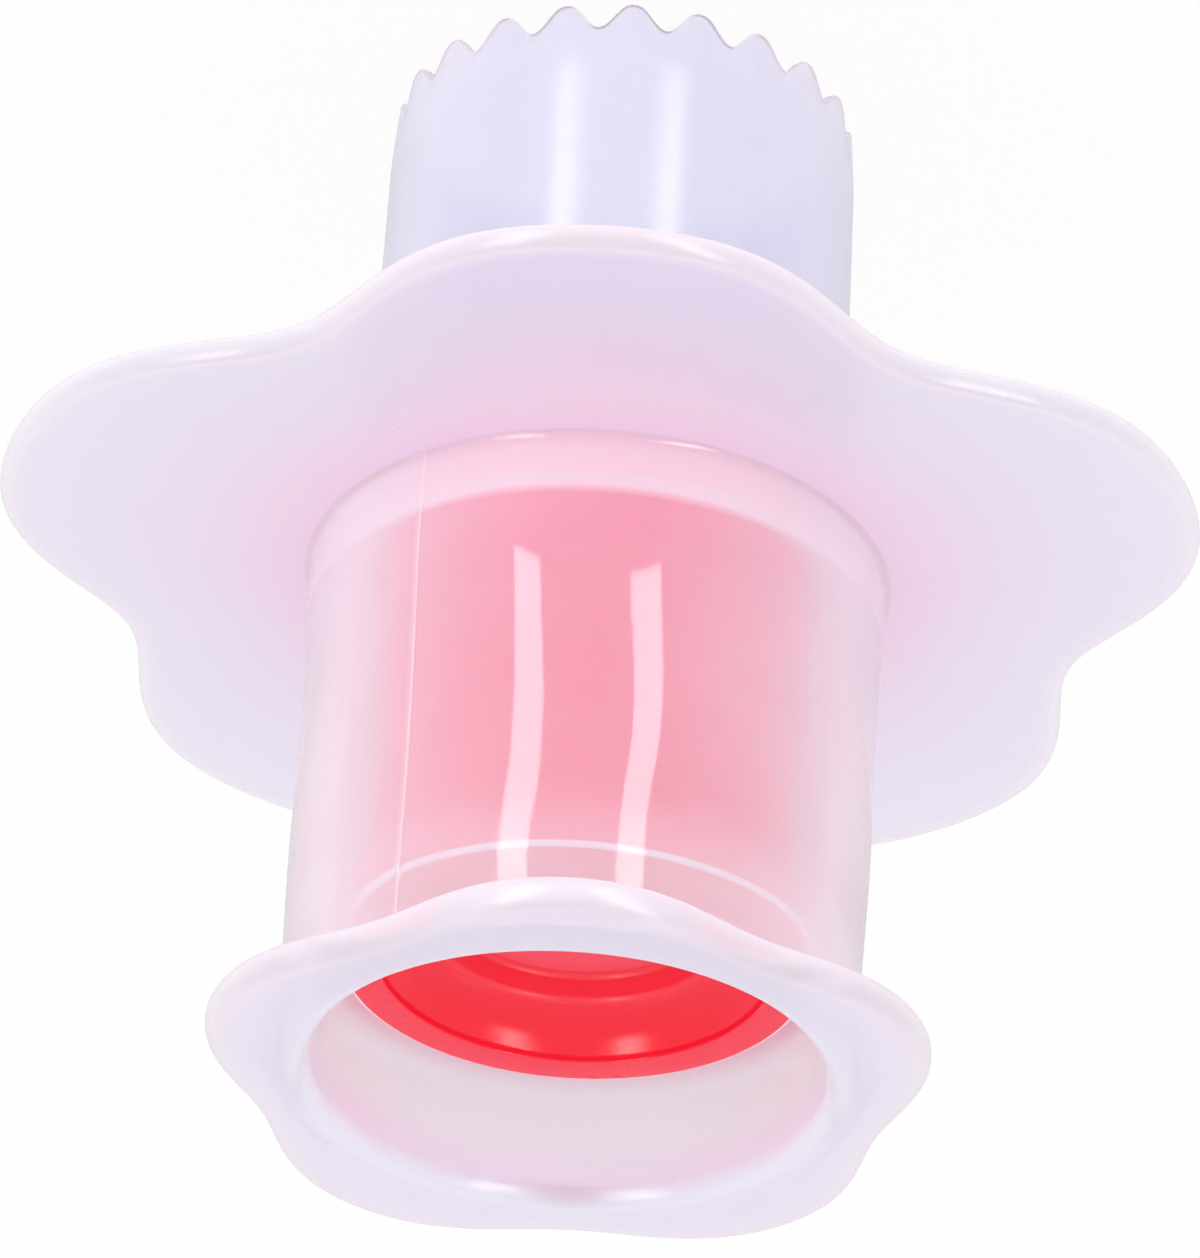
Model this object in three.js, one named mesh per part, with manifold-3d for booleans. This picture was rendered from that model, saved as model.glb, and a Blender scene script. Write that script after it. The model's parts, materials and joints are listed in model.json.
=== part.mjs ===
// Cupcake corer: a one-piece serrated cutter body with two flower flanges, and a thumb plunger that
// slides in it. Millimetres, +Z up. The corer stands on its teeth, with their tips on Z = 0, around Z.
import * as THREE from "three";
import { mergeVertices } from "three/addons/utils/BufferGeometryUtils.js";
import Module from "manifold-3d";

// Heights of the body
const TOTAL_HEIGHT = 65;
const CORE_DEPTH = 29.6;
const STOP_FLANGE_THICKNESS = 1.5;
const STOP_FLANGE_ROOT_THICKNESS = 2.2;
const SHOULDER_RISE = 1.8;
const FINGER_FLANGE_THICKNESS = 2;

// Cutter tube
const CUTTER_BORE_RADIUS = 12.7;
const CUTTER_ROOT_WALL = 1.45;
const CUTTER_BEVEL_WALL = 1.15;
const CUTTER_EDGE_WALL = 0.85;
const CUTTER_BEVEL_HEIGHT = 4;
const TOOTH_COUNT = 21;
const TOOTH_DEPTH = 1.65;
const TOOTH_ROUNDING = 1.2;
const TOOTH_TURN = THREE.MathUtils.degToRad(-2);

// Barrel: its bore is wider than the cutter's by the shoulder that the plunger stops on
const SHOULDER_WIDTH = 2;
const BARREL_MOUTH_WALL = 1.8;
const BARREL_ROOT_WALL = 2.1;
const MOUTH_ROUNDING = 1.1;
const STOP_FLANGE_FILLET = 0.4;
const FINGER_FLANGE_FILLET = 1;
const SHOULDER_LEAD_IN = 0.5;

// Flowers: how far they stand out from the barrel on average, how far the petals swell, and how much
// broader the petals are than the valleys
const PETAL_COUNT = 5;
const PETAL_TURN = THREE.MathUtils.degToRad(-90);
const STOP_OVERHANG = 16.3;
const STOP_SWELL = 3.1;
const STOP_BREADTH = 0.57;
const FINGER_OVERHANG = 3.5;
const FINGER_SWELL = 1.2;
const FINGER_BREADTH = 0.1;

// Plunger
const GUIDE_CLEARANCE = 0.3;
const RIM_CLEARANCE = 1.1;
const STOP_CLEARANCE = 0.3;
const PLUNGER_TRAVEL = 20.6;
const EJECTOR_SETBACK = 0.1;
const PLUNGER_WALL = 1.6;
const RIM_HEIGHT = 3;
const RIM_FLAT_WIDTH = 2;
const RIM_EDGE = 0.35;
const DISH_STEP = 0.4;
const DISH_BOWL_DEPTH = 2.3;
const DISH_BOWL_WIDTH = 2.95;
const DISH_BOWL_LEAN = 0.97;
const DISH_BOWL_LIFT = 0.17;
const DISH_FLOOR_DEPTH = 4;
const DISH_FLOOR_DRAFT = 0.3;

// Faceting
const ROUND_SEGMENTS = 84;
const OUTLINE_POINTS = 120;
const ARC_STEPS = 4;
const TOOTH_STEPS = 4;
const TRIM_SEGMENTS = 32;

// Heights and radii that follow from the sizes above
const stopFlangeTop = CORE_DEPTH + STOP_FLANGE_THICKNESS;
const stopFlangeRoot = CORE_DEPTH + STOP_FLANGE_ROOT_THICKNESS;
const shoulderZ = stopFlangeRoot + SHOULDER_RISE;
const fingerFlangeUnder = TOTAL_HEIGHT - FINGER_FLANGE_THICKNESS;
const barrelBoreRadius = CUTTER_BORE_RADIUS + SHOULDER_WIDTH;
const barrelRootRadius = barrelBoreRadius + BARREL_ROOT_WALL;
const barrelMouthRadius = barrelBoreRadius + BARREL_MOUTH_WALL;
const cutterRootRadius = CUTTER_BORE_RADIUS + CUTTER_ROOT_WALL;
const stopFlower = {
  mean: barrelRootRadius + STOP_OVERHANG,
  swell: STOP_SWELL,
  broad: STOP_BREADTH,
};
const fingerFlower = {
  mean: barrelMouthRadius + FINGER_OVERHANG,
  swell: FINGER_SWELL,
  broad: FINGER_BREADTH,
};

const wasm = await Module();
wasm.setup();

// A closed three.js geometry as a solid.
function solid(geometry) {
  const bare = geometry.clone();
  bare.deleteAttribute("normal");
  bare.deleteAttribute("uv");
  const merged = mergeVertices(bare, 1e-4);
  const mesh = new wasm.Mesh({
    numProp: 3,
    vertProperties: new Float32Array(merged.attributes.position.array),
    triVerts: new Uint32Array(merged.index.array),
  });
  return new wasm.Manifold(mesh);
}

// A solid as a three.js geometry.
function geometryOf(manifold) {
  const mesh = manifold.getMesh();
  const geometry = new THREE.BufferGeometry();
  geometry.setAttribute("position", new THREE.BufferAttribute(mesh.vertProperties, 3));
  geometry.setIndex(new THREE.BufferAttribute(mesh.triVerts, 1));
  geometry.computeVertexNormals();
  return geometry;
}

// A profile in (radius, height), turned around Z. It runs clockwise with the radius to the right.
function turned(profile) {
  const points = profile.getPoints(ARC_STEPS).reverse();
  return new THREE.LatheGeometry(points, ROUND_SEGMENTS).rotateX(Math.PI / 2);
}

// What lies outside a flower outline, from z = low up to z = high: taken away, it leaves the flower.
function outsideFlower(flower, low, high) {
  const margin = 1;
  const outline = new THREE.Path();
  for (let i = 0; i <= OUTLINE_POINTS; i += 1) {
    const angle = (i / OUTLINE_POINTS) * 2 * Math.PI;
    const petal = PETAL_COUNT * (angle - PETAL_TURN);
    const radius = flower.mean + flower.swell * Math.cos(petal) - flower.broad * Math.cos(2 * petal);
    const point = new THREE.Vector2(radius, 0).rotateAround(new THREE.Vector2(), angle);
    if (i === 0) outline.moveTo(point.x, point.y);
    else outline.lineTo(point.x, point.y);
  }
  const ring = new THREE.Shape().absarc(0, 0, discRadius(flower) + margin, 0, 2 * Math.PI, false);
  ring.holes.push(outline);
  const depth = high - low + 2 * margin;
  const options = { depth, curveSegments: TRIM_SEGMENTS, bevelEnabled: false };
  return new THREE.ExtrudeGeometry(ring, options).translate(0, 0, low - margin);
}

// The round disc that a flower is cut from.
function discRadius(flower) {
  return flower.mean + flower.swell + flower.broad;
}

// The round shape of the body: cutter tube, shoulder ring, barrel and the discs of the two flanges.
function bodyProfile() {
  const bevelRadius = CUTTER_BORE_RADIUS + CUTTER_BEVEL_WALL;
  const stopFillet = STOP_FLANGE_FILLET;
  const fingerFillet = FINGER_FLANGE_FILLET;
  const profile = new THREE.Path();
  profile.moveTo(CUTTER_BORE_RADIUS, 0);
  profile.lineTo(CUTTER_BORE_RADIUS, shoulderZ - SHOULDER_LEAD_IN);
  profile.lineTo(CUTTER_BORE_RADIUS + SHOULDER_LEAD_IN, shoulderZ);
  profile.lineTo(barrelBoreRadius, shoulderZ);
  profile.lineTo(barrelBoreRadius, TOTAL_HEIGHT - MOUTH_ROUNDING);
  profile.absarc(
    barrelBoreRadius + MOUTH_ROUNDING,
    TOTAL_HEIGHT - MOUTH_ROUNDING,
    MOUTH_ROUNDING,
    Math.PI,
    Math.PI / 2,
    true,
  );
  profile.lineTo(discRadius(fingerFlower), TOTAL_HEIGHT);
  profile.lineTo(discRadius(fingerFlower), fingerFlangeUnder);
  profile.absarc(
    barrelMouthRadius + fingerFillet,
    fingerFlangeUnder - fingerFillet,
    fingerFillet,
    Math.PI / 2,
    Math.PI,
    false,
  );
  profile.lineTo(barrelRootRadius, stopFlangeRoot + stopFillet);
  profile.absarc(
    barrelRootRadius + stopFillet,
    stopFlangeRoot + stopFillet,
    stopFillet,
    Math.PI,
    1.5 * Math.PI,
    false,
  );
  profile.lineTo(discRadius(stopFlower), stopFlangeTop);
  profile.lineTo(discRadius(stopFlower), CORE_DEPTH);
  profile.lineTo(cutterRootRadius, CORE_DEPTH);
  profile.lineTo(bevelRadius, CUTTER_BEVEL_HEIGHT);
  profile.lineTo(CUTTER_BORE_RADIUS + CUTTER_EDGE_WALL, 0);
  profile.lineTo(CUTTER_BORE_RADIUS, 0);
  return profile;
}

// The gap between two teeth, cut straight through the cutter wall at -Y: it leaves round tips and
// slightly narrower round valleys.
function toothGap() {
  const margin = 1;
  const edgeRadius = CUTTER_BORE_RADIUS + CUTTER_EDGE_WALL / 2;
  const halfPitch = (Math.PI * edgeRadius) / TOOTH_COUNT;
  const shape = new THREE.Shape();
  shape.moveTo(halfPitch, -margin);
  for (let i = -TOOTH_STEPS; i <= TOOTH_STEPS; i += 1) {
    const across = -i / TOOTH_STEPS;
    const rise = TOOTH_DEPTH * ((1 + Math.cos(Math.PI * across)) / 2) ** TOOTH_ROUNDING;
    shape.lineTo(across * halfPitch, rise);
  }
  shape.lineTo(-halfPitch, -margin);
  const reach = CUTTER_ROOT_WALL + 2 * margin;
  const gap = new THREE.ExtrudeGeometry(shape, { depth: reach, bevelEnabled: false });
  return gap.rotateX(Math.PI / 2).translate(0, margin - CUTTER_BORE_RADIUS, 0);
}

function corerBody() {
  let body = solid(turned(bodyProfile()));
  body = body.subtract(solid(outsideFlower(stopFlower, CORE_DEPTH, stopFlangeRoot)));
  body = body.subtract(solid(outsideFlower(fingerFlower, fingerFlangeUnder, TOTAL_HEIGHT)));
  const pitch = (2 * Math.PI) / TOOTH_COUNT;
  for (let i = 0; i < TOOTH_COUNT; i += 1) {
    const turn = TOOTH_TURN + (i + 0.5) * pitch;
    body = body.subtract(solid(toothGap().rotateZ(turn)));
  }
  return geometryOf(body);
}

// The plunger: thumb dish and rim on top, and a hollow tube, open below, that pushes the core out.
function plungerProfile() {
  const tubeRadius = CUTTER_BORE_RADIUS - GUIDE_CLEARANCE;
  const rimRadius = barrelBoreRadius - RIM_CLEARANCE;
  const rimUnder = shoulderZ + STOP_CLEARANCE + PLUNGER_TRAVEL;
  const rimTop = rimUnder + RIM_HEIGHT;
  const end = TOOTH_DEPTH + EJECTOR_SETBACK + PLUNGER_TRAVEL;
  const dishFloor = rimTop - DISH_FLOOR_DEPTH;
  const bowlMouth = rimRadius - RIM_EDGE - RIM_FLAT_WIDTH;
  const bowlFoot = bowlMouth - DISH_BOWL_WIDTH;
  const profile = new THREE.Path();
  profile.moveTo(0, dishFloor);
  profile.lineTo(bowlFoot - DISH_FLOOR_DRAFT, dishFloor);
  profile.lineTo(bowlFoot, rimTop - DISH_BOWL_DEPTH);
  profile.quadraticCurveTo(
    bowlMouth - DISH_BOWL_LEAN,
    rimTop - DISH_BOWL_DEPTH + DISH_BOWL_LIFT,
    bowlMouth,
    rimTop - DISH_STEP,
  );
  profile.lineTo(bowlMouth, rimTop);
  profile.lineTo(rimRadius - RIM_EDGE, rimTop);
  profile.lineTo(rimRadius, rimTop - RIM_EDGE);
  profile.lineTo(rimRadius, rimUnder);
  profile.lineTo(tubeRadius, rimUnder);
  profile.lineTo(tubeRadius, end);
  profile.lineTo(tubeRadius - PLUNGER_WALL, end);
  profile.lineTo(tubeRadius - PLUNGER_WALL, dishFloor - PLUNGER_WALL);
  profile.lineTo(0, dishFloor - PLUNGER_WALL);
  return profile;
}

function named(name, geometry, color, roughness) {
  const material = new THREE.MeshStandardMaterial({ color, roughness, metalness: 0 });
  const mesh = new THREE.Mesh(geometry, material);
  mesh.name = name;
  return mesh;
}

const milkyPlastic = new THREE.Color(0.9, 0.89, 0.94);
const redPlastic = new THREE.Color(0.9, 0.06, 0.09);

const corer = new THREE.Group();
corer.add(named("corer_body", corerBody(), milkyPlastic, 0.3));
corer.add(named("plunger", geometryOf(solid(turned(plungerProfile()))), redPlastic, 0.25));

export default corer;
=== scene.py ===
"""Cupcake corer: a milky cutter body and a red thumb plunger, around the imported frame."""

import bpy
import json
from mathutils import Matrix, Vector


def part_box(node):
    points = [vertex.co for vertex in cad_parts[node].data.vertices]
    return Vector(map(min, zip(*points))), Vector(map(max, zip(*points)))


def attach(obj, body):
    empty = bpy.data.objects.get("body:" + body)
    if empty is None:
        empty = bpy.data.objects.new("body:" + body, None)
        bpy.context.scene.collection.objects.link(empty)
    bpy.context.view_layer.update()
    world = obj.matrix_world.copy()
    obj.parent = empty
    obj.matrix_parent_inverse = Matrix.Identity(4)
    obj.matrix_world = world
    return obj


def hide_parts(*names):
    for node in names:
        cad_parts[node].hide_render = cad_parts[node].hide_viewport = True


bl_info = {
    "name": "Cupcake corer",
    "version": (1, 0, 0),
    "blender": (4, 5, 0),
    "location": "3D View > Sidebar > Corer",
    "description": "Builds a two-piece cupcake corer and its studio stage on the packed frame",
    "category": "Object",
}

import json
import math
from types import SimpleNamespace
from typing import NamedTuple

import bmesh
import bpy
from bpy.props import FloatProperty, FloatVectorProperty, IntProperty, PointerProperty
from mathutils import Quaternion, Vector, noise

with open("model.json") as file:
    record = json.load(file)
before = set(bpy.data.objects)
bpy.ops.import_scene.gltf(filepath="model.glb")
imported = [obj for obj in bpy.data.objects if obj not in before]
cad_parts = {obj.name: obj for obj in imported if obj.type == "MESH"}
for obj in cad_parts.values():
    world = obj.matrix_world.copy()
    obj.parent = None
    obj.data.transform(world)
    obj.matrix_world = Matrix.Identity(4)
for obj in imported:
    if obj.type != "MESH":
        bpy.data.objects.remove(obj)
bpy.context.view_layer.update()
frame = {"record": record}

MM = 0.001
HAIR = 0.01 * MM
WELD_DISTANCE = 0.002 * MM
SHORTEST_EDGE = 0.001 * MM
CUT_SLACK = 0.005 * MM
ROUNDING_SEGMENTS = 6
BODY_SPAN = 1 * MM
STEPS_PER_TOOTH = 16
PLUNGER_SPAN = 2 * MM
PLUNGER_SECTORS = 16
STEPS_PER_SECTOR = 12
SENSOR_MM = 36
BODY_LOW, BODY_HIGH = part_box("corer_body")
PLUNGER_LOW, PLUNGER_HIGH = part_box("plunger")
MOUNTS = {mount["name"]: mount["pos_m"] for mount in frame["record"]["mounts"]}


def length(name, description, default):
    """A length property in metres."""
    return FloatProperty(
        name=name, description=description, default=default, unit="LENGTH", precision=5
    )


def angle(name, description, degrees):
    """An angle property."""
    radians = math.radians(degrees)
    return FloatProperty(name=name, description=description, default=radians, subtype="ANGLE")


def share(name, description, default):
    """A property from 0 to 1."""
    return FloatProperty(
        name=name, description=description, default=default, min=0, max=1, subtype="FACTOR"
    )


def colour(name, description, default):
    """A linear colour property."""
    return FloatVectorProperty(
        name=name, description=description, default=default, size=3, min=0, max=1, subtype="COLOR"
    )


class CorerBodySizes(bpy.types.PropertyGroup):
    """Sizes of the milky moulding: cutter, stop flower, barrel and finger flower."""

    total_height: length("Total height", "Tooth tips to the end of the finger flower", BODY_HIGH.z)
    core_depth: length("Core depth", "Tooth tips to the stop flower", MOUNTS["depth_stop_face"][2])
    stop_thickness: length("Stop flower thickness", "Its thickness at its edge", 1.5 * MM)
    stop_root: length("Stop flower root", "Its thickness at the barrel", 2.2 * MM)
    stop_edge: length("Stop flower edge", "Rounding of the large flower's edge", 0.72 * MM)
    shoulder_rise: length("Shoulder rise", "Stop flower to the plunger's seat", 1.8 * MM)
    band_rise: length("Band rise", "Stop flower to the end of the whiter band", 3.5 * MM)
    finger_thickness: length("Finger flower thickness", "Thickness of the small flower", 2 * MM)
    finger_edge: length("Finger flower edge", "Rounding of the small flower's edge", 0.95 * MM)
    cutter_bore: length("Cutter bore", "Inner radius of the cutter", 12.7 * MM)
    cutter_root_wall: length("Cutter root wall", "Wall of the cutter at the stop flower", 1.45 * MM)
    cutter_bevel_wall: length("Cutter bevel wall", "Its wall where the bevel starts", 1.15 * MM)
    cutter_edge_wall: length("Cutter edge wall", "Wall at the tooth tips", 0.85 * MM)
    bevel_height: length("Bevel height", "Height of the sharpened edge", 4 * MM)
    barrel_bore: length("Barrel bore", "Inner radius of the barrel", 14.7 * MM)
    barrel_mouth_wall: length("Mouth wall", "Wall of the barrel at its mouth", 1.8 * MM)
    barrel_root_wall: length("Root wall", "Wall of the barrel at the stop flower", 2.1 * MM)
    mouth_rounding: length("Mouth rounding", "Rounding of the barrel's mouth", 1.1 * MM)
    stop_cove: length("Stop cove", "Cove between the barrel and the large flower", 0.4 * MM)
    finger_cove: length("Finger cove", "Cove between the barrel and the small flower", 1 * MM)
    lead_in: length("Lead-in", "Chamfer that guides the plunger into the cutter", 0.5 * MM)
    bevel_edge: length("Bevel edge", "Easing where the sharpened edge starts", 1 * MM)
    band_edge: length("Band edge", "Height in which the whiter band fades", 0.6 * MM)
    soft_edge: length("Soft edge", "Easing of the other edges", 0.25 * MM)
    tooth_count: IntProperty(name="Teeth", description="Number of teeth", default=21, min=3)
    tooth_depth: length("Tooth depth", "Tip to valley", 1.65 * MM)
    tooth_rounding: FloatProperty(
        name="Tooth rounding", description="1 is a plain wave, more rounds the valleys", default=1.2
    )
    tooth_turn: angle("Tooth turn", "Angle from the -Y direction to a tooth tip", -2)
    petal_count: IntProperty(name="Petals", description="Petals of each flower", default=5, min=3)
    petal_turn: angle("Petal turn", "Direction of the first petal", -90)
    stop_mean: length("Stop flower radius", "Mean radius of the large flower", 33.1 * MM)
    stop_swell: length("Stop flower swell", "How far its petals swell", 3.1 * MM)
    stop_broad: length("Stop flower breadth", "How far its petals broaden", 0.57 * MM)
    finger_mean: length("Finger flower radius", "Mean radius of the small flower", 20 * MM)
    finger_swell: length("Finger flower swell", "How far its petals swell", 1.2 * MM)
    finger_broad: length("Finger flower breadth", "How far its petals broaden", 0.1 * MM)
    ripple: length("Ripple", "Unevenness of the moulded barrel wall", 0.3 * MM)
    ripple_length: length("Ripple length", "Distance between ripples", 13 * MM)
    parting_turn: angle("Parting line", "Direction of the mould's parting line", -54)
    parting_height: length("Parting height", "Height of the parting line's ridge", 0.05 * MM)
    parting_width: length("Parting width", "Half the width of the parting line's ridge", 0.13 * MM)
    parting_reach: length("Parting reach", "How far it runs out on the large flower", 12 * MM)
    parting_fade: share("Parting fade", "Share of its reach at which it starts to fade", 0.5)


class PlungerSizes(bpy.types.PropertyGroup):
    """Sizes of the red moulding: thumb dish, rim and tube."""

    rim_top: length("Rim top", "Height of the rim's flat top", PLUNGER_HIGH.z)
    rim_radius: length("Rim radius", "Outer radius of the rim", PLUNGER_HIGH.x)
    rim_height: length("Rim height", "Height of the rim", 3 * MM)
    rim_flat: length("Rim flat", "Width of the rim's flat top", 2 * MM)
    rim_edge: length("Rim edge", "Rounding of the rim's edge", 0.35 * MM)
    tube_radius: length("Tube radius", "Outer radius of the tube", 12.4 * MM)
    tube_end: length("Tube end", "Height of the tube's lower end", PLUNGER_LOW.z)
    wall: length("Wall", "Wall of the tube and the dish", 1.6 * MM)
    dish_step: length("Dish step", "Step inside the rim's flat top", 0.4 * MM)
    bowl_depth: length("Bowl depth", "Depth of the bowl's lower edge", 2.3 * MM)
    bowl_radius: length("Bowl radius", "Radius of the bowl's lower edge", 8.3 * MM)
    bowl_lean: length("Bowl lean", "How far the bowl's wall leans outwards", 0.97 * MM)
    bowl_lift: length("Bowl lift", "How far the bowl's bottom rises outwards", 0.17 * MM)
    floor_height: length("Floor height", "Height of the thumb floor", MOUNTS["thumb_floor"][2])
    floor_radius: length("Floor radius", "Radius of the thumb floor", 8 * MM)
    bowl_fullness: share("Bowl fullness", "Share of the bowl's corner that is rounded", 0.95)
    bowl_edge: length("Bowl edge", "Easing of the bowl's and the floor's edge", 0.4 * MM)
    soft_edge: length("Soft edge", "Easing of the other edges", 0.2 * MM)


class CorerFinish(bpy.types.PropertyGroup):
    """Colours of the two plastics, and the painted glow, shade, fill light, sheen and highlight
    tints.
    """

    milky: colour("Milky plastic", "The body's plastic", (0.79, 0.785, 0.945))
    milky_cutter: colour("Milky cutter", "The cutter", (0.715, 0.735, 0.905))
    # Painted pink glow of the red plunger in the milky wall; on the flowers it is painted shade
    # that darkens them
    milky_glow_and_shade: colour("Milky barrel", "The body around the plunger", (0.815, 0.72, 0.8))
    # Painted pink glow of the red plunger at the large flower's foot
    milky_foot_glow: colour("Milky, rosy", "The large flower's foot", (0.98, 0.74, 0.83))
    # Painted fill light: a lighter, bluer tone that cancels the shade and red bounce light inside
    # the mouth
    milky_well_fill: colour("Milky well", "The inside of the barrel's mouth", (0.75, 0.88, 1.0))
    milky_light: colour("Milky light", "What one skin lets through", (1.0, 0.95, 1.0))
    red: colour("Red plastic", "The plunger's plastic", (1.0, 0.016, 0.045))
    red_deep: colour("Red, deep", "Where the plastic is denser", (0.98, 0.012, 0.04))
    # Painted sheen: a lighter, pinker red that stands in for the flats reflecting the pale walls
    red_sheen: colour("Red, matt", "The thumb floor and the rim's top", (1.0, 0.1, 0.145))
    red_tube: colour("Red, tube", "The tube, behind the milky wall", (1.0, 0.03, 0.15))
    # Painted highlight: a pale line along the rim's rounded edge
    red_rim_highlight: colour("Red, scuffed", "The rim's edge, rubbed pale", (1.0, 0.75, 0.78))


class CorerSkin(bpy.types.PropertyGroup):
    """How clear, satin and tinted the parts of the two skins are; the tints are painted glow, shade
    and sheen.
    """

    clear: share("Clarity", "Clarity of the walls that aren't named below", 0.8)
    cutter_clear: share("Cutter clarity", "Clarity of the cutter", 0.92)
    barrel_clear: share("Barrel clarity", "Clarity of the barrel's outside", 0.74)
    finger_clear: share("Finger flower clarity", "Clarity of the small flower", 0.45)
    band_clear: share("Band clarity", "Clarity of the whiter band", 0.25)
    seat_clear: share("Seat clarity", "Clarity of the plunger's seat and the stop cove", 0.15)
    stop_loss: share("Stop flower loss", "Clarity lost at its edge and foot", 0.6)
    finger_loss: share("Finger flower loss", "Clarity lost at its edge", 0.2)
    well_loss: share("Well loss", "Clarity lost inside the mouth", 0.4)
    mouth_loss: share("Mouth loss", "Clarity lost outside, around the mouth", 0.15)
    ridge_loss: share("Ridge loss", "Share of the clarity lost on the parting line", 0.7)
    cutter_satin: share("Cutter satin", "Roughness of the cutter", 0.18)
    stop_satin: share("Stop flower satin", "Roughness of the large flower", 0.2)
    finger_satin: share("Finger flower satin", "Roughness of the small flower", 0.24)
    barrel_satin: share("Barrel satin", "Roughness of the barrel's outside", 0.05)
    bore_satin: share("Bore satin", "Roughness of the barrel's inside", 0.12)
    lip_satin: share("Lip satin", "Roughness added at the mouth's lip", 0.1)
    # Painted shade on the large flower's edge; painted pink glow and shade on the small flower and
    # its edge
    stop_edge_shade: share("Stop flower tint", "Barrel tint at its edge", 0.5)
    finger_glow_and_shade: share("Finger flower tint", "Barrel tint on it", 0.4)
    finger_edge_shade: share("Finger edge tint", "Barrel tint added at its edge", 0.4)
    # Lessens the painted pink glow at the mouth's lip
    lip_glow_loss: share("Lip loss", "Barrel tint lost at the mouth's lip", 0.6)
    # Painted pink glow at the large flower's foot, and how far out it fades
    foot_glow_tint: share("Rosy tint", "Rosy tint at the large flower's foot", 0.22)
    foot_glow_reach: length("Rosy reach", "How far out the rosy tint fades", 9 * MM)
    foot_reach: length("Foot reach", "How far out the foot's lost clarity returns", 18 * MM)
    well_low: share("Well start", "Share of the total height at which it starts", 0.82)
    well_high: share("Well end", "Share of the total height at which it is full", 0.88)
    mouth_low: share("Mouth start", "Share of the barrel's end height at which it starts", 0.86)
    mouth_high: share("Mouth end", "Share of the barrel's end height at which it is full", 0.93)
    # Each makes the red rougher and blends in the painted sheen colour; between floor and bowl it
    # is painted light that lifts the shade
    floor_matt_and_sheen: share("Floor matt", "How matt the thumb floor is", 1)
    wall_matt_and_light: share("Wall matt", "How matt the plunger is between floor and bowl", 0.35)
    rim_matt_and_sheen: share("Rim matt", "How matt the rim's flat top is", 0.22)


class CorerStage(bpy.types.PropertyGroup):
    """Floor, light and camera."""

    floor_colour: colour("Floor", "Colour of the floor", (0.98, 0.98, 0.98))
    floor_size: length("Floor size", "Side of the square floor", 4)
    shadow_share: share("Shadow", "How much of the shadow shows", 0.12)
    ambient: share("Ambient", "Strength of the even studio light", 0.97)
    mirrored: share("Mirrored", "Strength of the studio in reflections", 0.7)
    key_power: FloatProperty(
        name="Key", description="Power of the soft key lamp", default=1.1, unit="POWER"
    )
    key_azimuth: angle("Key azimuth", "Turn of the key lamp around the corer", 16)
    key_elevation: angle("Key elevation", "Key lamp above the horizon", -21)
    strip_light: FloatProperty(
        name="Strips", description="Brightness of a strip panel", default=9.0
    )
    strip_width: length("Strip width", "Width of a strip panel", 0.11)
    strip_low: angle("Strip low end", "Low end of a strip panel above the horizon", -37)
    strip_bend: angle("Strip bend", "Where above the horizon it starts to lean outwards", -15)
    strip_high: angle("Strip high end", "High end of a strip panel above the horizon", 56)
    strip_turn: angle("Strip turn", "Turn of both panels from the view, up to the bend", 3.2)
    strip_low_spread: angle("Strip low spread", "Turn from there to a low end", 25.5)
    strip_bend_spread: angle("Strip bend spread", "Turn from there to a bend", 20)
    strip_high_spread: angle("Strip high spread", "Turn from the view to a high end", 48)
    lamp_distance: length("Lamp distance", "Distance of the lamps", 0.6)
    aim: FloatVectorProperty(
        name="Aim",
        description="Point at the middle of the picture",
        default=(-0.29 * MM, 0, 34.89 * MM),
        subtype="TRANSLATION",
    )
    camera_azimuth: angle("Camera azimuth", "Turn of the camera around the corer", -1.79)
    camera_elevation: angle("Camera elevation", "Camera above the horizon", 30.67)
    camera_roll: angle("Camera roll", "The picture shows the corer teeth up", -176.49)
    camera_distance: length("Camera distance", "Camera to the aim point", 611.96 * MM)
    lens: FloatProperty(
        name="Lens", description="Focal length on a 36 mm sensor", default=300.5, unit="CAMERA"
    )


# Modelling


def wire(mesh, corners, closed):
    """Draws a profile of (radius, height, rounding) corners in the XZ plane."""
    verts = [mesh.verts.new((radius, 0, height)) for radius, height, rounding in corners]
    followers = verts[1:] + verts[:1] if closed else verts[1:]
    for vert, follower in zip(verts, followers):
        mesh.edges.new((vert, follower))
    for vert, (radius, height, rounding) in zip(verts, corners):
        if rounding > 0:
            bmesh.ops.bevel(
                mesh,
                geom=[vert],
                offset=rounding,
                offset_type="OFFSET",
                segments=ROUNDING_SEGMENTS,
                profile=0.5,
                affect="VERTICES",
                material=-1,
            )


def divide_long_edges(mesh, span):
    """Cuts every edge into pieces no longer than span."""
    for edge in list(mesh.edges):
        cuts = int(edge.calc_length() / span)
        if cuts:
            bmesh.ops.subdivide_edges(mesh, edges=[edge], cuts=cuts)


def turn_profile(mesh, sectors, steps):
    """Turns a profile around the Z axis: one sector in steps, then copies of that sector."""
    sector = 2 * math.pi / sectors
    spin = {"cent": (0, 0, 0), "axis": (0, 0, 1), "use_merge": False}
    bmesh.ops.spin(mesh, geom=mesh.verts[:] + mesh.edges[:], angle=sector, steps=steps, **spin)
    wedge = mesh.verts[:] + mesh.edges[:] + mesh.faces[:]
    rest = 2 * math.pi - sector
    bmesh.ops.spin(mesh, geom=wedge, angle=rest, steps=sectors - 1, use_duplicate=True, **spin)


def close_skin(mesh):
    """Joins the seam and the poles, and points the faces outwards."""
    bmesh.ops.remove_doubles(mesh, verts=mesh.verts, dist=WELD_DISTANCE)
    bmesh.ops.dissolve_degenerate(mesh, edges=mesh.edges, dist=SHORTEST_EDGE)
    bmesh.ops.recalc_face_normals(mesh, faces=mesh.faces)
    for face in mesh.faces:
        face.smooth = True


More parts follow.
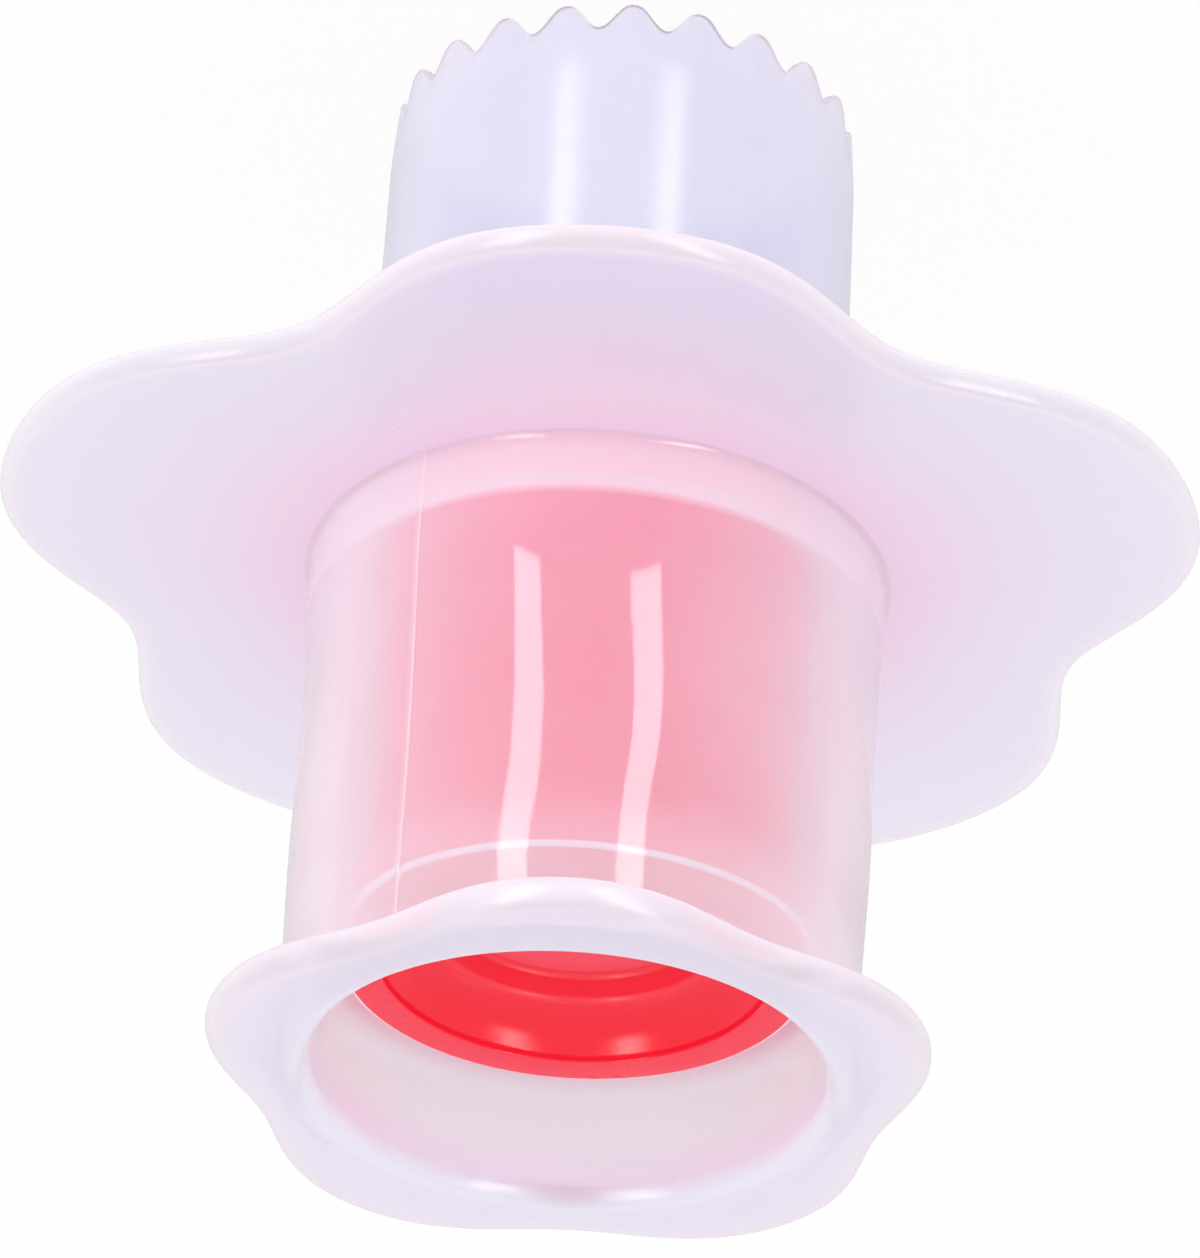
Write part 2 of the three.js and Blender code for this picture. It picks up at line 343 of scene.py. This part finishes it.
def show(mesh, name, material):
    """Makes the finished mesh an object of the scene."""
    data = bpy.data.meshes.new(name)
    mesh.to_mesh(data)
    mesh.free()
    data.materials.append(material)
    made = bpy.data.objects.new(name, data)
    bpy.context.scene.collection.objects.link(made)
    return made


def piece(made, node, body):
    """Lets the object stand for a frame node and ride on its body."""
    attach(made, body)
    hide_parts(node)


def ramp(low, high, value):
    """0 below low, 1 above high, and a smooth rise between them."""
    along = min(1.0, max(0.0, (value - low) / (high - low)))
    return along * along * (3 - 2 * along)


# Corer body


class Flower(NamedTuple):
    """A flower's outline, and the part of a round disc that becomes the flower."""

    mean: float
    swell: float
    broad: float
    inner: float
    edge: float

    def disc(self):
        """Radius of the round disc."""
        return self.mean + self.swell + self.broad

    def at_edge(self, radius):
        """1 on the disc's rounded edge, falling to 0 just inside it."""
        flat_end = self.disc() - self.edge
        return ramp(flat_end - self.edge, flat_end, radius)


class Spot(NamedTuple):
    """Where a point of the turned body is, and how high the parting line's ridge is there."""

    part: str
    radius: float
    turn: float
    height: float
    ridge: float


def body_places(size):
    """Heights, radii and flowers that follow from the body's sizes."""
    stop_root = size.core_depth + size.stop_root
    root_radius = size.barrel_bore + size.barrel_root_wall
    mouth_radius = size.barrel_bore + size.barrel_mouth_wall
    stop_inner = root_radius + size.stop_cove
    return SimpleNamespace(
        stop_middle=size.core_depth + size.stop_thickness / 2,
        stop_root=stop_root,
        shoulder=stop_root + size.shoulder_rise,
        band=stop_root + size.band_rise,
        finger_under=size.total_height - size.finger_thickness,
        root_radius=root_radius,
        mouth_radius=mouth_radius,
        mid_wall=size.barrel_bore + size.barrel_mouth_wall / 2,
        across=across_parting(size),
        stop=Flower(
            size.stop_mean, size.stop_swell, size.stop_broad, stop_inner, size.stop_edge
        ),
        finger=Flower(
            size.finger_mean, size.finger_swell, size.finger_broad, mouth_radius, size.finger_edge
        ),
    )


def body_corners(size):
    """The body's profile, up the inside and down the outside: radius, height, rounding."""
    places = body_places(size)
    bore = size.cutter_bore
    return [
        (bore, 0, size.soft_edge),
        (bore, places.shoulder - size.lead_in, size.soft_edge),
        (bore + size.lead_in, places.shoulder, size.soft_edge),
        (size.barrel_bore, places.shoulder, size.soft_edge),
        (size.barrel_bore, size.total_height, size.mouth_rounding),
        (places.finger.disc(), size.total_height, size.finger_edge),
        (places.finger.disc(), places.finger_under, size.finger_edge),
        (places.mouth_radius, places.finger_under, size.finger_cove),
        (places.root_radius, places.band + size.band_edge, 0),
        (places.root_radius, places.band, 0),
        (places.root_radius, places.stop_root, size.stop_cove),
        (places.stop.disc(), size.core_depth + size.stop_thickness, size.stop_edge),
        (places.stop.disc(), size.core_depth, size.stop_edge),
        (bore + size.cutter_root_wall, size.core_depth, size.soft_edge),
        (bore + size.cutter_bevel_wall, size.bevel_height, size.bevel_edge),
        (bore + size.cutter_edge_wall, 0, size.soft_edge),
    ]


def across_parting(size):
    """Unit vector square to the plane in which the two mould halves meet."""
    return Vector((-math.sin(size.parting_turn), math.cos(size.parting_turn), 0))


def cut_parting_line(mesh, size):
    """Cuts the skin along both flanks and the crest of the parting line."""
    across = across_parting(size)
    for flank in (-1, 0, 1):
        bmesh.ops.bisect_plane(
            mesh,
            geom=mesh.verts[:] + mesh.edges[:] + mesh.faces[:],
            dist=CUT_SLACK,
            plane_co=across * size.parting_width * flank,
            plane_no=across,
        )


def body_part(size, places, radius, height):
    """The part of the body that a point of the turned profile is on."""
    outside = radius > places.mid_wall
    if outside and height > places.finger_under - HAIR:
        return "finger"
    if radius > places.stop.inner - HAIR:
        if size.core_depth - HAIR < height < places.stop_root + HAIR:
            return "stop"
    if outside and height > places.stop_root - size.stop_cove:
        return "barrel"
    if not outside and height > places.shoulder - size.lead_in:
        return "bore"
    return "cutter" if height < size.core_depth - HAIR else "neck"


def body_spot(size, places, point):
    """Tells where a point of the turned body is."""
    radius = math.hypot(point.x, point.y)
    part = body_part(size, places, radius, point.z)
    ridge = max(0.0, 1 - abs(places.across.dot(point)) / size.parting_width)
    if part == "stop" and point.z > places.stop_middle:
        reached = (radius - places.stop.inner) / size.parting_reach
        ridge *= 1 - ramp(size.parting_fade, 1, reached)
    elif part != "barrel":
        ridge = 0.0
    return Spot(part, radius, math.atan2(point.y, point.x), point.z, ridge)


def lip_share(size, places, height):
    """0 in the barrel, rising to 1 at the lip of its mouth."""
    start = places.finger_under - 2 * size.mouth_rounding
    return ramp(start, places.finger_under + size.mouth_rounding / 2, height)


def cutter_finish(size, skin, places, spot):
    """Looks of the cutter below the large flower."""
    return {"cutter": 1, "clarity": skin.cutter_clear, "satin": skin.cutter_satin}


def neck_finish(size, skin, places, spot):
    """Looks of the bore below the plunger's seat, and of the large flower beside the cutter."""
    above = spot.height > places.stop_root + HAIR
    # barrel: painted pink glow of the plunger on the bore above the large flower
    return {"clarity": skin.clear, "satin": skin.cutter_satin, "barrel": 1 if above else 0}


def bore_finish(size, skin, places, spot):
    """Looks of the barrel's inside, from the plunger's seat to the mouth."""
    well_low, well_high = (size.total_height * at for at in (skin.well_low, skin.well_high))
    in_well = ramp(well_low, well_high, spot.height)
    lip = lip_share(size, places, spot.height)
    wall_clear = skin.seat_clear if spot.height < places.shoulder + HAIR else skin.clear
    return {
        "clarity": wall_clear - skin.well_loss * in_well,
        "satin": skin.bore_satin + skin.lip_satin * lip,
        # barrel: painted pink glow of the plunger, less at the lip and inside the mouth
        "barrel": (1 - skin.lip_glow_loss * lip) * (1 - in_well),
        # Painted fill light inside the mouth, none at the lip
        "well": in_well * (1 - lip),
    }


def stop_finish(size, skin, places, spot):
    """Looks of the large flower; its upper face has a milkier foot with a painted pink glow."""
    at_edge = places.stop.at_edge(spot.radius)
    milkier, rosy = at_edge, 0
    if spot.height > places.stop_middle:
        from_foot = spot.radius - places.stop.inner
        milkier = max(at_edge, 1 - ramp(0, skin.foot_reach, from_foot))
        # Painted pink glow, fading out from the foot
        rosy = skin.foot_glow_tint * (1 - ramp(0, skin.foot_glow_reach, from_foot))
    return {
        "clarity": (skin.clear - skin.stop_loss * milkier) * (1 - skin.ridge_loss * spot.ridge),
        "satin": skin.stop_satin,
        # barrel: painted shade on the rounded edge
        "barrel": skin.stop_edge_shade * at_edge,
        # Painted pink glow at the foot
        "rosy": rosy,
    }


def finger_finish(size, skin, places, spot):
    """Looks of the small flower."""
    at_edge = places.finger.at_edge(spot.radius)
    return {
        "clarity": skin.finger_clear - skin.finger_loss * at_edge,
        "satin": skin.finger_satin,
        # barrel: painted pink glow and shade, more at the edge
        "barrel": skin.finger_glow_and_shade + skin.finger_edge_shade * at_edge,
    }


def barrel_finish(size, skin, places, spot):
    """Looks of the barrel's outside: a milky cove, a whiter band, then clearer up to the mouth."""
    clear = skin.barrel_clear
    if spot.height < places.stop_root + size.stop_cove:
        clear = skin.seat_clear
    elif spot.height < places.band + HAIR:
        clear = skin.band_clear
    mouth_low, mouth_high = (places.finger_under * at for at in (skin.mouth_low, skin.mouth_high))
    clear -= skin.mouth_loss * ramp(mouth_low, mouth_high, spot.height)
    return {
        "clarity": clear * (1 - skin.ridge_loss * spot.ridge),
        "satin": skin.barrel_satin,
        # barrel: painted pink glow of the plunger, less at the lip
        "barrel": 1 - skin.lip_glow_loss * lip_share(size, places, spot.height),
    }


BODY_FINISHES = {
    "cutter": cutter_finish,
    "neck": neck_finish,
    "bore": bore_finish,
    "stop": stop_finish,
    "finger": finger_finish,
    "barrel": barrel_finish,
}


def note_body_finish(mesh, size, skin):
    """Notes on the points of the turned body how its skin looks."""
    places = body_places(size)
    # Three of these notes carry painted pink glow, painted shade and painted fill light into the
    # tint
    names = ("cutter", "clarity", "satin", "barrel", "well", "rosy")
    notes = {name: mesh.verts.layers.float.new(name) for name in names}
    for vert in mesh.verts:
        spot = body_spot(size, places, vert.co)
        for name, value in BODY_FINISHES[spot.part](size, skin, places, spot).items():
            vert[notes[name]] = value


def flower_shift(size, flower, spot):
    """How far a point of the round disc moves so that the disc becomes a flower."""
    petal = size.petal_count * (spot.turn - size.petal_turn)
    outline = flower.mean + flower.swell * math.cos(petal) - flower.broad * math.cos(2 * petal)
    disc = flower.disc()
    share_out = (spot.radius - flower.inner) / (disc - flower.edge - flower.inner)
    return min(1.0, max(0.0, share_out)) * (outline - disc)


def tooth_lift(size, spot):
    """How far a point of the cutter rises so that the cutting edge gets its teeth."""
    pitch = 2 * math.pi / size.tooth_count
    place = (spot.turn - size.petal_turn - size.tooth_turn) / pitch
    from_valley = abs(place - math.floor(place) - 0.5) * 2
    wave = (1 + math.cos(math.pi * from_valley)) / 2
    fade = 1 - ramp(0, size.bevel_height, spot.height)
    return size.tooth_depth * wave**size.tooth_rounding * fade


def barrel_ripple(size, places, point):
    """How far the moulded barrel wall is uneven, fading towards both flowers."""
    reach = size.ripple_length / 2
    fade = ramp(places.stop_root, places.stop_root + reach, point.z)
    fade *= 1 - ramp(places.finger_under - reach, places.finger_under, point.z)
    return size.ripple * fade * noise.noise(point / size.ripple_length)


def shape_body(mesh, size):
    """Gives the turned body its flowers, teeth, ripple and parting line."""
    places = body_places(size)
    for vert in mesh.verts:
        spot = body_spot(size, places, vert.co)
        ridge = spot.ridge * size.parting_height
        out, rise = 0.0, tooth_lift(size, spot)
        if spot.part == "stop":
            out = flower_shift(size, places.stop, spot)
            rise += ridge
        elif spot.part == "finger":
            out = flower_shift(size, places.finger, spot)
        elif spot.part == "barrel":
            out = barrel_ripple(size, places, vert.co) + ridge
        vert.co.x += out * math.cos(spot.turn)
        vert.co.y += out * math.sin(spot.turn)
        vert.co.z += rise


class CORER_OT_make_body(bpy.types.Operator):
    """Make the milky moulding with its cutter, its two flowers and its barrel"""

    bl_idname = "corer.make_body"
    bl_label = "Make corer body"

    def execute(self, context):
        size = context.scene.corer_body
        mesh = bmesh.new()
        wire(mesh, body_corners(size), closed=True)
        divide_long_edges(mesh, BODY_SPAN)
        turn_profile(mesh, size.tooth_count, STEPS_PER_TOOTH)
        close_skin(mesh)
        cut_parting_line(mesh, size)
        note_body_finish(mesh, size, context.scene.corer_skin)
        shape_body(mesh, size)
        made = show(mesh, "corer_body_moulding", milky_plastic(context))
        piece(made, "corer_body", "body")
        return {"FINISHED"}


# Plunger


def plunger_corners(size):
    """The plunger's profile, from the dish over the rim and the tube into its hollow."""
    bowl_mouth = size.rim_radius - size.rim_edge - size.rim_flat
    bowl_low = size.rim_top - size.bowl_depth
    rim_under = size.rim_top - size.rim_height
    hollow_radius = size.tube_radius - size.wall
    hollow_top = size.floor_height - size.wall
    bowl_rise = size.bowl_depth - size.dish_step - size.bowl_lift
    bowl_rounding = size.bowl_fullness * math.hypot(size.bowl_lean, bowl_rise)
    return [
        (0, size.floor_height, 0),
        (size.floor_radius, size.floor_height, size.bowl_edge),
        (size.bowl_radius, bowl_low, size.bowl_edge),
        (bowl_mouth - size.bowl_lean, bowl_low + size.bowl_lift, bowl_rounding),
        (bowl_mouth, size.rim_top - size.dish_step, 0),
        (bowl_mouth, size.rim_top, size.soft_edge / 2),
        (size.rim_radius, size.rim_top, size.rim_edge),
        (size.rim_radius, rim_under, size.soft_edge),
        (size.tube_radius, rim_under, size.soft_edge),
        (size.tube_radius, size.tube_end, size.rim_edge),
        (hollow_radius, size.tube_end, size.rim_edge),
        (hollow_radius, hollow_top, size.soft_edge),
        (0, hollow_top, 0),
    ]


def note_plunger_finish(mesh, size, skin):
    """Notes where the plunger's skin is matt with painted sheen and light, where its rim's edge has
    a painted highlight, and where it is behind the milky wall.
    """
    matt, scuffed, tube = (
        mesh.verts.layers.float.new(name) for name in ("matt", "scuffed", "tube")
    )
    rim_side = size.rim_top - size.rim_edge
    rim_inner = size.rim_radius - size.rim_edge
    for vert in mesh.verts:
        radius = math.hypot(vert.co.x, vert.co.y)
        height = vert.co.z
        # Rougher, with painted sheen on the floor and rim top, and painted light on the wall
        # between floor and bowl
        if abs(height - size.floor_height) < HAIR:
            vert[matt] = skin.floor_matt_and_sheen
        if size.floor_height + HAIR < height < size.rim_top - size.bowl_depth:
            vert[matt] = skin.wall_matt_and_light
        if height > size.rim_top - HAIR:
            vert[matt] = skin.rim_matt_and_sheen
        if height < rim_side and radius > size.tube_radius - HAIR:
            vert[tube] = 1
        # Painted highlight along the rim's rounded outer edge
        if height > rim_side + HAIR and radius > rim_inner + HAIR:
            vert[scuffed] = 1


class CORER_OT_make_plunger(bpy.types.Operator):
    """Make the red plunger with its thumb dish, rim and tube"""

    bl_idname = "corer.make_plunger"
    bl_label = "Make plunger"

    def execute(self, context):
        size = context.scene.corer_plunger
        mesh = bmesh.new()
        wire(mesh, plunger_corners(size), closed=False)
        divide_long_edges(mesh, PLUNGER_SPAN)
        turn_profile(mesh, PLUNGER_SECTORS, STEPS_PER_SECTOR)
        close_skin(mesh)
        note_plunger_finish(mesh, size, context.scene.corer_skin)
        made = show(mesh, "plunger_moulding", red_plastic(context))
        piece(made, "plunger", "plunger")
        return {"FINISHED"}


# Finishes


def new_material(name):
    """A node material, its tree and its shader."""
    material = bpy.data.materials.new(name)
    material.use_nodes = True
    tree = material.node_tree
    return material, tree, tree.nodes["Principled BSDF"]


def set_inputs(node, values):
    """Sets a node's inputs by name."""
    for name, value in values.items():
        node.inputs[name].default_value = value


def show_mix(tree, share_of_second, first, second):
    """Shows a mix of two shaders on the surface."""
    mix = tree.nodes.new("ShaderNodeMixShader")
    for socket, value in zip(mix.inputs, (share_of_second, first.outputs[0], second.outputs[0])):
        tree.links.new(value, socket)
    tree.links.new(mix.outputs[0], tree.nodes["Material Output"].inputs["Surface"])


def noise_node(tree, scale, detail):
    """A noise texture on the piece's own coordinates; scale is in turns per metre."""
    node = tree.nodes.new("ShaderNodeTexNoise")
    set_inputs(node, {"Scale": scale, "Detail": detail})
    coordinates = tree.nodes.new("ShaderNodeTexCoord").outputs["Object"]
    tree.links.new(coordinates, node.inputs["Vector"])
    return node.outputs["Fac"]


def noted(tree, name):
    """A value noted on the piece's points."""
    node = tree.nodes.new("ShaderNodeAttribute")
    node.attribute_name = name
    return node.outputs["Fac"]


def maths(tree, operation, first, second):
    """A Math node on two values, each a number or an output."""
    node = tree.nodes.new("ShaderNodeMath")
    node.operation = operation
    for socket, value in zip(node.inputs, (first, second)):
        if isinstance(value, bpy.types.NodeSocket):
            tree.links.new(value, socket)
        else:
            socket.default_value = value
    return node.outputs[0]


def between(tree, value, low, high, start=0.0, end=1.0):
    """Takes a value from the range start to end to the range low to high."""
    node = tree.nodes.new("ShaderNodeMapRange")
    set_inputs(node, {"From Min": start, "From Max": end, "To Min": low, "To Max": high})
    tree.links.new(value, node.inputs["Value"])
    return node.outputs["Result"]


def cloudy(tree, clouds, low, high):
    """Takes the middle of a noise's range to the range low to high."""
    return between(tree, clouds, low, high, start=0.3, end=0.7)


def blend_colours(tree, share_of_second, first, second):
    """A colour between two colours, of which the first may be another blend."""
    node = tree.nodes.new("ShaderNodeMix")
    node.data_type = "RGBA"
    factor, first_input, second_input = node.inputs[0], node.inputs[6], node.inputs[7]
    if isinstance(first, bpy.types.NodeSocket):
        tree.links.new(first, first_input)
    else:
        first_input.default_value = (*first, 1)
    second_input.default_value = (*second, 1)
    tree.links.new(share_of_second, factor)
    return node.outputs[2]


def blend_noted(tree, tint, noted_colours):
    """Blends colours into a tint where their names are noted on the piece's points."""
    for name, noted_colour in noted_colours.items():
        tint = blend_colours(tree, noted(tree, name), tint, noted_colour)
    return tint


def add_grain(tree, shader, scale):
    """Gives the skin a fine grain."""
    node = tree.nodes.new("ShaderNodeBump")
    set_inputs(node, {"Distance": 0.01 * MM, "Strength": 0.3})
    tree.links.new(noise_node(tree, scale, detail=2), node.inputs["Height"])
    tree.links.new(node.outputs["Normal"], shader.inputs["Normal"])


def let_light_through(tree, shader, tint):
    """Lets lamp light and scattered light pass straight through, to light what is inside."""
    path = tree.nodes.new("ShaderNodeLightPath").outputs
    clear = tree.nodes.new("ShaderNodeBsdfTransparent")
    clear.inputs["Color"].default_value = (*tint, 1)
    passing = maths(tree, "MAXIMUM", path["Is Shadow Ray"], path["Is Diffuse Ray"])
    show_mix(tree, passing, shader, clear)


def see_through(tree, clouds):
    """How clear the milky wall is: most where it is met squarely, and fully from inside."""
    angle_loss, least = 1.4, 0.25
    facing = tree.nodes.new("ShaderNodeLayerWeight").outputs["Facing"]
    squarely = maths(tree, "SUBTRACT", 1, maths(tree, "MULTIPLY", facing, angle_loss))
    met = maths(tree, "MAXIMUM", squarely, least)
    clarity = maths(tree, "MULTIPLY", noted(tree, "clarity"), met)
    clarity = maths(tree, "MULTIPLY", clarity, cloudy(tree, clouds, 0.95, 1.05))
    inside = tree.nodes.new("ShaderNodeNewGeometry").outputs["Backfacing"]
    return maths(tree, "MAXIMUM", clarity, inside)


def milky_plastic(context):
    """Milky translucent plastic: clear where the wall is thin and met squarely, white elsewhere."""
    finish = context.scene.corer_finish
    material, tree, shader = new_material("milky_plastic")
    clouds = noise_node(tree, scale=90, detail=3)
    # Base colour: the plastic's own tones, with painted pink glow, painted shade and painted fill
    # light blended in where noted
    tint = blend_noted(tree, finish.milky, {
        "barrel": finish.milky_glow_and_shade,
        "cutter": finish.milky_cutter,
        "well": finish.milky_well_fill,
        "rosy": finish.milky_foot_glow,
    })
    roughness = maths(tree, "ADD", noted(tree, "satin"), cloudy(tree, clouds, 0, 0.02))
    tree.links.new(tint, shader.inputs["Base Color"])
    tree.links.new(see_through(tree, clouds), shader.inputs["Transmission Weight"])
    tree.links.new(roughness, shader.inputs["Roughness"])
    add_grain(tree, shader, scale=1800)
    set_inputs(shader, {
        "IOR": 1.49,
        "Specular IOR Level": 0.3,
        "Subsurface Weight": 1,
        "Subsurface Radius": (1, 1, 1),
        "Subsurface Scale": 3 * MM,
    })
    let_light_through(tree, shader, finish.milky_light)
    return material


def red_plastic(context):
    """Glossy red plastic, a little translucent, with faint flow clouds, a painted sheen on its
    flats and a painted highlight on its rim's edge.
    """
    finish = context.scene.corer_finish
    material, tree, shader = new_material("red_plastic")
    clouds = noise_node(tree, scale=140, detail=3)
    tint = blend_noted(tree, blend_colours(tree, clouds, finish.red, finish.red_deep), {
        "tube": finish.red_tube,
        # Painted sheen on the flats, painted light on the steep wall
        "matt": finish.red_sheen,
        # Painted highlight on the rim's edge
        "scuffed": finish.red_rim_highlight,
    })
    matt_roughness = maths(tree, "MULTIPLY", noted(tree, "matt"), 0.25)
    roughness = maths(tree, "ADD", matt_roughness, cloudy(tree, clouds, 0.19, 0.26))
    tree.links.new(tint, shader.inputs["Base Color"])
    tree.links.new(roughness, shader.inputs["Roughness"])
    add_grain(tree, shader, scale=2400)
    set_inputs(shader, {
        "IOR": 1.5,
        "Specular IOR Level": 0.45,
        "Subsurface Weight": 0.3,
        "Subsurface Radius": (1, 0.2, 0.2),
        "Subsurface Scale": 2 * MM,
    })
    return material


# Stage


def seen_directly(tree):
    """1 for rays that show the background: from the camera, a reflection or through plastic."""
    path = tree.nodes.new("ShaderNodeLightPath").outputs
    shown = maths(tree, "MAXIMUM", path["Is Camera Ray"], path["Is Glossy Ray"])
    return maths(tree, "MAXIMUM", shown, path["Is Transmission Ray"])


def reflected(tree):
    """1 for rays that left a surface as a reflection."""
    path = tree.nodes.new("ShaderNodeLightPath").outputs
    return maths(tree, "GREATER_THAN", path["Is Glossy Ray"], path["Is Transmission Ray"])


def make_world(stage):
    """Even white light all round, a white background, and a greyer one in reflections."""
    world = bpy.data.worlds.new("studio")
    world.use_nodes = True
    bpy.context.scene.world = world
    tree = world.node_tree
    background = tree.nodes["Background"]
    background.inputs["Color"].default_value = (1, 1, 1, 1)
    strength = between(tree, seen_directly(tree), stage.ambient, 1)
    dimming = between(tree, reflected(tree), 1, stage.mirrored)
    level = maths(tree, "MULTIPLY", strength, dimming)
    tree.links.new(level, background.inputs["Strength"])


def stage_piece(mesh, name, material):
    """Makes the finished mesh of a stage piece an object of the scene."""
    made = show(mesh, name, material)
    return made


def make_floor(stage):
    """A pale floor that looks white and keeps a faint shadow."""
    material, tree, shader = new_material("floor_paper")
    set_inputs(shader, {
        "Base Color": (*stage.floor_colour, 1),
        "Roughness": 1,
        "Specular IOR Level": 0,
    })
    white = tree.nodes.new("ShaderNodeEmission")
    whitened = maths(tree, "MULTIPLY", seen_directly(tree), 1 - stage.shadow_share)
    show_mix(tree, whitened, shader, white)
    mesh = bmesh.new()
    bmesh.ops.create_grid(mesh, x_segments=1, y_segments=1, size=stage.floor_size / 2)
    floor = stage_piece(mesh, "floor", material)
    floor.visible_glossy = False
    floor.visible_shadow = False


def direction(azimuth, elevation):
    """Unit vector to a place around the corer; azimuth 0 is the -Y side."""
    level = math.cos(elevation)
    return Vector((math.sin(azimuth) * level, -math.cos(azimuth) * level, math.sin(elevation)))


def make_key(stage):
    """A broad soft key lamp in front."""
    aim = Vector(stage.aim)
    place = aim + direction(stage.key_azimuth, stage.key_elevation) * stage.lamp_distance
    light = bpy.data.lights.new("key", "AREA")
    light.energy = stage.key_power
    light.size = stage.lamp_distance
    key = bpy.data.objects.new("key", light)
    key.location = place
    key.rotation_mode = "QUATERNION"
    key.rotation_quaternion = (aim - place).to_track_quat("-Z", "Y")
    key.visible_glossy = False
    bpy.context.scene.collection.objects.link(key)


def strip_stations(stage, side):
    """Where a strip panel starts, bends and ends, seen from the aim point."""
    turned = stage.camera_azimuth + stage.strip_turn
    stations = (
        (turned, stage.strip_low_spread, stage.strip_low),
        (turned, stage.strip_bend_spread, stage.strip_bend),
        (stage.camera_azimuth, stage.strip_high_spread, stage.strip_high),
    )
    return [
        direction(azimuth + side * spread, elevation) * stage.lamp_distance
        for azimuth, spread, elevation in stations
    ]


def strip_mesh(stage, stations):
    """A strip panel that runs from station to station."""
    half = stations[0].cross(stations[-1]).normalized() * stage.strip_width / 2
    start = Vector(stage.aim) + stations[0]
    mesh = bmesh.new()
    edge = mesh.edges.new([mesh.verts.new(start + half * end) for end in (-1, 1)])
    for station, following in zip(stations, stations[1:]):
        made = bmesh.ops.extrude_edge_only(mesh, edges=[edge])["geom"]
        moved = [item for item in made if isinstance(item, bmesh.types.BMVert)]
        bmesh.ops.translate(mesh, verts=moved, vec=following - station)
        edge = mesh.edges.get(moved)
    return mesh


def make_strips(stage):
    """Two upright bright panels, seen only as the streaks that they draw on the round walls."""
    material, tree, shader = new_material("strip_panel")
    glow = tree.nodes.new("ShaderNodeEmission")
    glow.inputs["Strength"].default_value = stage.strip_light
    tree.links.new(glow.outputs[0], tree.nodes["Material Output"].inputs["Surface"])
    material.cycles.emission_sampling = "NONE"
    for name, side in (("strip_left", -1), ("strip_right", 1)):
        panel = stage_piece(strip_mesh(stage, strip_stations(stage, side)), name, material)
        panel.visible_camera = False
        panel.visible_diffuse = False
        panel.visible_transmission = False
        panel.visible_shadow = False


def make_camera(stage):
    """The camera at the photograph's angle."""
    data = bpy.data.cameras.new("camera")
    data.lens = stage.lens
    data.sensor_width = SENSOR_MM
    camera = bpy.data.objects.new("camera", data)
    back = direction(stage.camera_azimuth, stage.camera_elevation)
    camera.location = Vector(stage.aim) + back * stage.camera_distance
    camera.rotation_mode = "QUATERNION"
    upright = (-back).to_track_quat("-Z", "Y")
    camera.rotation_quaternion = upright @ Quaternion((0, 0, 1), stage.camera_roll)
    bpy.context.scene.collection.objects.link(camera)
    bpy.context.scene.camera = camera


class CORER_OT_make_stage(bpy.types.Operator):
    """Make the pale floor, the soft light and the camera"""

    bl_idname = "corer.make_stage"
    bl_label = "Make stage"

    def execute(self, context):
        stage = context.scene.corer_stage
        context.scene.view_settings.view_transform = "Standard"
        make_world(stage)
        make_floor(stage)
        make_key(stage)
        make_strips(stage)
        make_camera(stage)
        return {"FINISHED"}


class CORER_PT_sidebar(bpy.types.Panel):
    """Corer pieces and their sizes"""

    bl_idname = "CORER_PT_sidebar"
    bl_label = "Cupcake corer"
    bl_space_type = "VIEW_3D"
    bl_region_type = "UI"
    bl_category = "Corer"

    def draw(self, context):
        for operator in OPERATORS:
            self.layout.operator(operator.bl_idname)
        for group_name, group in GROUPS.items():
            box = self.layout.box()
            for name in group.__annotations__:
                box.prop(getattr(context.scene, group_name), name)


GROUPS = {
    "corer_body": CorerBodySizes,
    "corer_plunger": PlungerSizes,
    "corer_finish": CorerFinish,
    "corer_skin": CorerSkin,
    "corer_stage": CorerStage,
}
OPERATORS = (CORER_OT_make_stage, CORER_OT_make_body, CORER_OT_make_plunger)


def register():
    for group in GROUPS.values():
        bpy.utils.register_class(group)
    for name, group in GROUPS.items():
        setattr(bpy.types.Scene, name, PointerProperty(type=group))
    for operator in OPERATORS:
        bpy.utils.register_class(operator)
    bpy.utils.register_class(CORER_PT_sidebar)


def unregister():
    bpy.utils.unregister_class(CORER_PT_sidebar)
    for operator in reversed(OPERATORS):
        bpy.utils.unregister_class(operator)
    for name, group in GROUPS.items():
        delattr(bpy.types.Scene, name)
        bpy.utils.unregister_class(group)


def main():
    register()
    bpy.ops.corer.make_stage()
    bpy.ops.corer.make_body()
    bpy.ops.corer.make_plunger()


if __name__ == "__main__":
    main()
